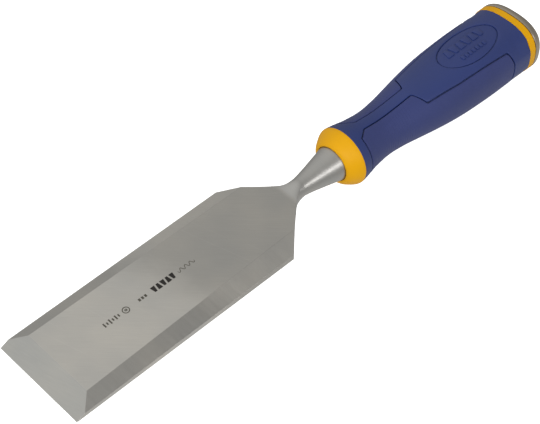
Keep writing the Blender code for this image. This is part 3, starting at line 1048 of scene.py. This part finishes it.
class CHISEL_OT_cap(bpy.types.Operator):
    """Press the steel strike cap with its rounded rim"""

    bl_idname = "chisel.cap"
    bl_label = "Strike cap"

    def execute(self, context):
        handle = context.scene.chisel_handle
        half_width, half_height, squareness = grip_size(0.0)
        front = CORE_LOW.x - 0.28 * MM
        rings = [oval_ring(front, half_width - 3.0 * MM, half_height - 3.0 * MM, squareness)]
        rings.append(oval_ring(front, half_width - 0.22 * MM, half_height - 0.22 * MM, squareness))
        rings.append(oval_ring(front - 0.06 * MM, half_width - 0.06 * MM, half_height - 0.06 * MM, squareness))
        rings.append(oval_ring(front - 0.22 * MM, half_width, half_height, squareness))
        rim_steps = 14
        for i in range(rim_steps + 1):
            angle = 0.5 * math.pi * i / rim_steps
            x = CAD_LOW.x + handle.cap_round_length * (1.0 - math.sin(angle))
            inset = handle.cap_round_inset * (1.0 - math.cos(angle))
            rings.append(oval_ring(x, half_width - inset, half_height - inset, squareness))
        for share in (0.92, 0.75, 0.5, 0.25, 0.08):
            inset = handle.cap_round_inset
            width, height = (half_width - inset) * share, (half_height - inset) * share
            rings.append(oval_ring(CAD_LOW.x, width, height, 2.0 + (squareness - 2.0) * share))
        steel = struck_steel("pressed cap steel", context.scene.chisel_colours.cap_steel)
        piece_from("strike_cap_steel", skin(rings), (steel,), "strike_cap")
        return {"FINISHED"}


def soft_light(name, direction, distance, size, power):
    """An area light that looks at the middle of the chisel."""
    light = bpy.data.lights.new(name, "AREA")
    light.shape = "RECTANGLE"
    light.size, light.size_y = size
    light.energy = power
    obj = bpy.data.objects.new(name, light)
    bpy.context.scene.collection.objects.link(obj)
    middle = (CAD_LOW + CAD_HIGH) / 2.0
    away = Vector(direction).normalized()
    obj.location = middle + away * distance
    obj.rotation_euler = (-away).to_track_quat("-Z", "Y").to_euler()
    return obj


def studio_world():
    """Soft surroundings with a plain white backdrop.

    They are brighter above, on the far side and on the table in front of the chisel.
    """
    world = bpy.data.worlds.new("studio")
    bpy.context.scene.world = world
    world.use_nodes = True
    nodes, links = world.node_tree.nodes, world.node_tree.links
    room = nodes["Background"]
    room.inputs["Color"].default_value = (1.0, 1.0, 0.98, 1.0)
    heading = nodes.new("ShaderNodeTexCoord")
    slope = nodes.new("ShaderNodeVectorMath")
    slope.operation = "DOT_PRODUCT"
    slope.inputs[1].default_value = (0.36, -0.33, 0.43)
    raised = nodes.new("ShaderNodeMath")
    raised.operation = "ADD"
    raised.inputs[1].default_value = 0.36
    lowest = nodes.new("ShaderNodeMath")
    lowest.operation = "MAXIMUM"
    lowest.inputs[1].default_value = 0.36
    table = nodes.new("ShaderNodeVectorMath")
    table.operation = "DOT_PRODUCT"
    table.inputs[1].default_value = (-0.3, 0.5, -0.81)
    facing = nodes.new("ShaderNodeMath")
    facing.operation = "MAXIMUM"
    facing.inputs[1].default_value = 0.0
    glow = nodes.new("ShaderNodeMath")
    glow.operation = "POWER"
    glow.inputs[1].default_value = 2.5
    radiance = nodes.new("ShaderNodeMath")
    radiance.operation = "MULTIPLY_ADD"
    radiance.inputs[1].default_value = 0.42
    backdrop = nodes.new("ShaderNodeBackground")
    backdrop.inputs["Color"].default_value = (1.0, 1.0, 1.0, 1.0)
    seen = nodes.new("ShaderNodeLightPath")
    mixed = nodes.new("ShaderNodeMixShader")
    links.new(heading.outputs["Generated"], slope.inputs[0])
    links.new(slope.outputs["Value"], raised.inputs[0])
    links.new(raised.outputs[0], lowest.inputs[0])
    links.new(heading.outputs["Generated"], table.inputs[0])
    links.new(table.outputs["Value"], facing.inputs[0])
    links.new(facing.outputs[0], glow.inputs[0])
    links.new(glow.outputs[0], radiance.inputs[0])
    links.new(lowest.outputs[0], radiance.inputs[2])
    links.new(radiance.outputs[0], room.inputs["Strength"])
    links.new(seen.outputs["Is Camera Ray"], mixed.inputs["Fac"])
    links.new(room.outputs[0], mixed.inputs[1])
    links.new(backdrop.outputs[0], mixed.inputs[2])
    links.new(mixed.outputs[0], nodes["World Output"].inputs["Surface"])


class CHISEL_OT_stage(bpy.types.Operator):
    """Set the pale floor, the soft lights and the camera"""

    bl_idname = "chisel.stage"
    bl_label = "Studio"

    def execute(self, context):
        scene = context.scene
        bm = bmesh.new()
        bmesh.ops.create_grid(bm, x_segments=1, y_segments=1, size=3.0)
        bmesh.ops.translate(bm, verts=bm.verts[:], vec=(0.15, 0.0, CAD_LOW.z - 0.3 * MM))
        mesh = bpy.data.meshes.new("floor")
        bm.to_mesh(mesh)
        bm.free()
        floor = bpy.data.objects.new("floor", mesh)
        scene.collection.objects.link(floor)
        pale = Finish("pale floor", scene.chisel_colours.floor, 0.8)
        pale.shader.inputs["Emission Color"].default_value = (1.0, 1.0, 1.0, 1.0)
        pale.shader.inputs["Emission Strength"].default_value = 0.85
        below = pale.add("ShaderNodeNewGeometry")
        clear = pale.add("ShaderNodeBsdfTransparent")
        links = {0: below.outputs["Backfacing"], 1: pale.shader.outputs[0], 2: clear.outputs[0]}
        seen = pale.add("ShaderNodeMixShader", links)
        pale.tree.links.new(seen.outputs[0], pale.tree.nodes["Material Output"].inputs["Surface"])
        mesh.materials.append(pale.material)
        floor.visible_diffuse = False
        floor.visible_glossy = False
        soft_light("long_key_light", (0.05, 0.87, 0.49), 0.9, (0.8, 0.32), 2.5)
        soft_light("front_fill_light", (0.78, 0.42, 0.5), 0.95, (0.5, 0.4), 4.0)
        studio_world()
        camera_data = bpy.data.cameras.new("camera")
        camera_data.lens = 100.3
        camera_data.sensor_width = 36.0
        camera = bpy.data.objects.new("camera", camera_data)
        scene.collection.objects.link(camera)
        camera.location = (0.4756, 0.3197, 0.5106)
        target = Vector((0.16735, -0.00173, -0.0052))
        camera.rotation_euler = (target - camera.location).to_track_quat("-Z", "Y").to_euler()
        scene.camera = camera
        scene.view_settings.view_transform = "Standard"
        return {"FINISHED"}


class CHISEL_PT_build(bpy.types.Panel):
    """Lists the chisel's pieces and its studio"""

    bl_idname = "CHISEL_PT_build"
    bl_label = "Bench chisel"
    bl_space_type = "VIEW_3D"
    bl_region_type = "UI"
    bl_category = "Bench chisel"

    def draw(self, context):
        for operator in OPERATORS:
            self.layout.operator(operator.bl_idname)
        for group in (context.scene.chisel_blade, context.scene.chisel_handle, context.scene.chisel_colours):
            box = self.layout.box()
            for key in group.__annotations__:
                box.prop(group, key)


OPERATORS = (
    CHISEL_OT_blade,
    CHISEL_OT_marks,
    CHISEL_OT_core,
    CHISEL_OT_sleeve,
    CHISEL_OT_panels,
    CHISEL_OT_badge,
    CHISEL_OT_cap,
    CHISEL_OT_stage,
)
CLASSES = (ChiselBlade, ChiselHandle, ChiselColours, *OPERATORS, CHISEL_PT_build)


def register():
    for cls in CLASSES:
        bpy.utils.register_class(cls)
    bpy.types.Scene.chisel_blade = PointerProperty(type=ChiselBlade)
    bpy.types.Scene.chisel_handle = PointerProperty(type=ChiselHandle)
    bpy.types.Scene.chisel_colours = PointerProperty(type=ChiselColours)


def unregister():
    del bpy.types.Scene.chisel_colours
    del bpy.types.Scene.chisel_handle
    del bpy.types.Scene.chisel_blade
    for cls in reversed(CLASSES):
        bpy.utils.unregister_class(cls)


def main():
    register()
    for name in ("Cube", "Light", "Camera"):
        if name in bpy.data.objects:
            bpy.data.objects.remove(bpy.data.objects[name], do_unlink=True)
    bpy.ops.chisel.blade()
    bpy.ops.chisel.marks()
    bpy.ops.chisel.core()
    bpy.ops.chisel.sleeve()
    bpy.ops.chisel.panels()
    bpy.ops.chisel.badge()
    bpy.ops.chisel.cap()
    bpy.ops.chisel.stage()


if __name__ == "__main__":
    main()
